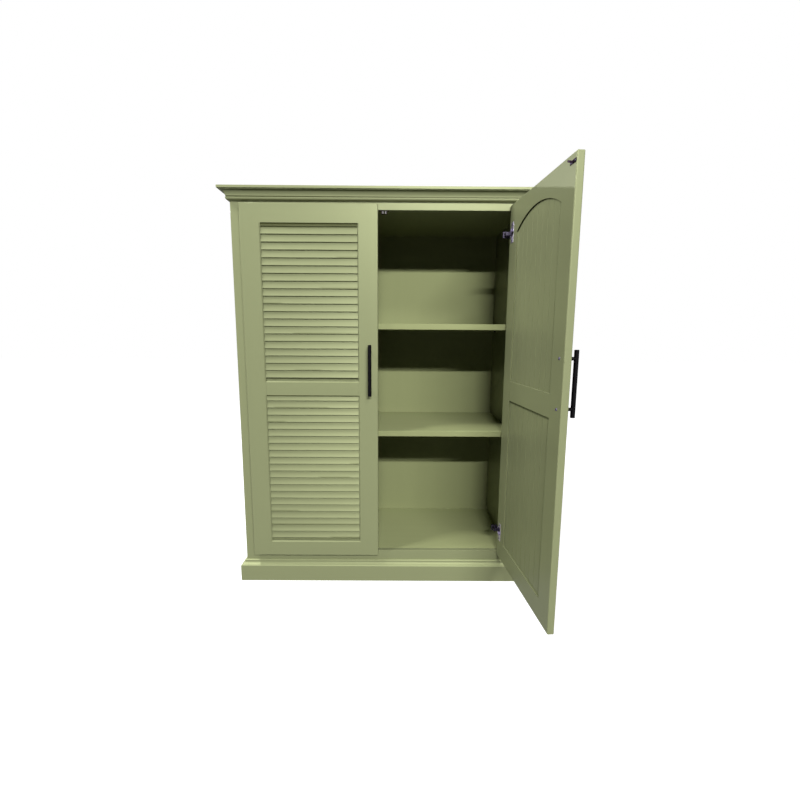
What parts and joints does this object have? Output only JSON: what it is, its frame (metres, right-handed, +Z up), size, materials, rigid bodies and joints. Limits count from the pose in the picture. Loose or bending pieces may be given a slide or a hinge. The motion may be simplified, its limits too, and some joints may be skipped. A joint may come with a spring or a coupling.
{
  "type": "louvred door cabinet",
  "caption": "Free-standing painted cabinet with louvred hinged doors, bar handles, moulded crown and base, and full-width shelves inside.",
  "frame": {"origin": "on the floor, under the middle of the face frame's front plane, where the front base board rests", "axes": "+Z up, +X to the right of someone facing the doors, +Y into the cabinet; the doors face -Y"},
  "size_m": [1.0311, 0.863, 1.359],
  "materials": {
    "painted_wood": "satin brushed paint, muted olive green",
    "painted_board": "satin paint on fibre board, muted olive green",
    "back_board": "thin painted board",
    "slat_paint": "satin paint on thin slats",
    "nickel_plate": "nickel-plated pressed steel",
    "black_metal": "matt black coated steel",
    "steel_screw": "zinc-plated steel",
    "roller_plastic": "moulded nylon"
  },
  "bodies": {
    "cabinet": {"back_panel": "back_board", "base_front": "painted_wood", "base_left": "painted_wood", "base_rear_rail": "painted_wood", "base_right": "painted_wood", "bottom_panel": "painted_board", "crown_front": "painted_wood", "crown_left": "painted_wood", "crown_right": "painted_wood", "face_frame_bottom_rail": "painted_wood", "face_frame_left_stile": "painted_wood", "face_frame_right_stile": "painted_wood", "face_frame_top_rail": "painted_wood", "frame_screws": "steel_screw", "left_catch": "nickel_plate", "left_hinge_arms": "nickel_plate", "left_side_panel": "painted_board", "lower_shelf": "painted_board", "right_catch": "nickel_plate", "right_hinge_arms": "nickel_plate", "right_side_panel": "painted_board", "shelf_pins": "steel_screw", "top_cap": "painted_board", "top_panel": "painted_board", "upper_shelf": "painted_board"},
    "left_door": {"left_door_bottom_rail": "painted_wood", "left_door_handle_bar": "black_metal", "left_door_handle_posts": "black_metal", "left_door_hinge_cups": "nickel_plate", "left_door_hinge_stile": "painted_wood", "left_door_lock_stile": "painted_wood", "left_door_lower_panel": "back_board", "left_door_lower_slats": "slat_paint", "left_door_middle_rail": "painted_wood", "left_door_screws": "steel_screw", "left_door_strike": "nickel_plate", "left_door_top_rail": "painted_wood", "left_door_upper_panel": "back_board", "left_door_upper_slats": "slat_paint"},
    "right_door": {"right_door_bottom_rail": "painted_wood", "right_door_handle_bar": "black_metal", "right_door_handle_posts": "black_metal", "right_door_hinge_cups": "nickel_plate", "right_door_hinge_stile": "painted_wood", "right_door_lock_stile": "painted_wood", "right_door_lower_panel": "back_board", "right_door_lower_slats": "slat_paint", "right_door_middle_rail": "painted_wood", "right_door_screws": "steel_screw", "right_door_strike": "nickel_plate", "right_door_top_rail": "painted_wood", "right_door_upper_panel": "back_board", "right_door_upper_slats": "slat_paint"},
    "left_inner_roller": {"left_catch_inner_roller": "roller_plastic"},
    "left_outer_roller": {"left_catch_outer_roller": "roller_plastic"},
    "right_inner_roller": {"right_catch_inner_roller": "roller_plastic"},
    "right_outer_roller": {"right_catch_outer_roller": "roller_plastic"}
  },
  "joints": [
    {"name": "left_door_hinge", "type": "hinge", "parent": "cabinet", "child": "left_door", "pos_m": [-0.441, -0.0125, 0.708], "axis": [0, 0, -1], "range_deg": [0, 105]},
    {"name": "right_door_hinge", "type": "hinge", "parent": "cabinet", "child": "right_door", "pos_m": [0.441, -0.0125, 0.708], "axis": [0, 0, 1], "range_deg": [-94.9, 10.1]},
    {"name": "left_outer_roller_spin", "type": "hinge", "parent": "cabinet", "child": "left_outer_roller", "pos_m": [-0.0224, 0.0075, 1.2884], "axis": [0, 0, 1], "continuous": true},
    {"name": "left_inner_roller_spin", "type": "hinge", "parent": "cabinet", "child": "left_inner_roller", "pos_m": [-0.0136, 0.0075, 1.2884], "axis": [0, 0, 1], "continuous": true},
    {"name": "right_outer_roller_spin", "type": "hinge", "parent": "cabinet", "child": "right_outer_roller", "pos_m": [0.0224, 0.0075, 1.2884], "axis": [0, 0, 1], "continuous": true},
    {"name": "right_inner_roller_spin", "type": "hinge", "parent": "cabinet", "child": "right_inner_roller", "pos_m": [0.0136, 0.0075, 1.2884], "axis": [0, 0, 1], "continuous": true}
  ]
}
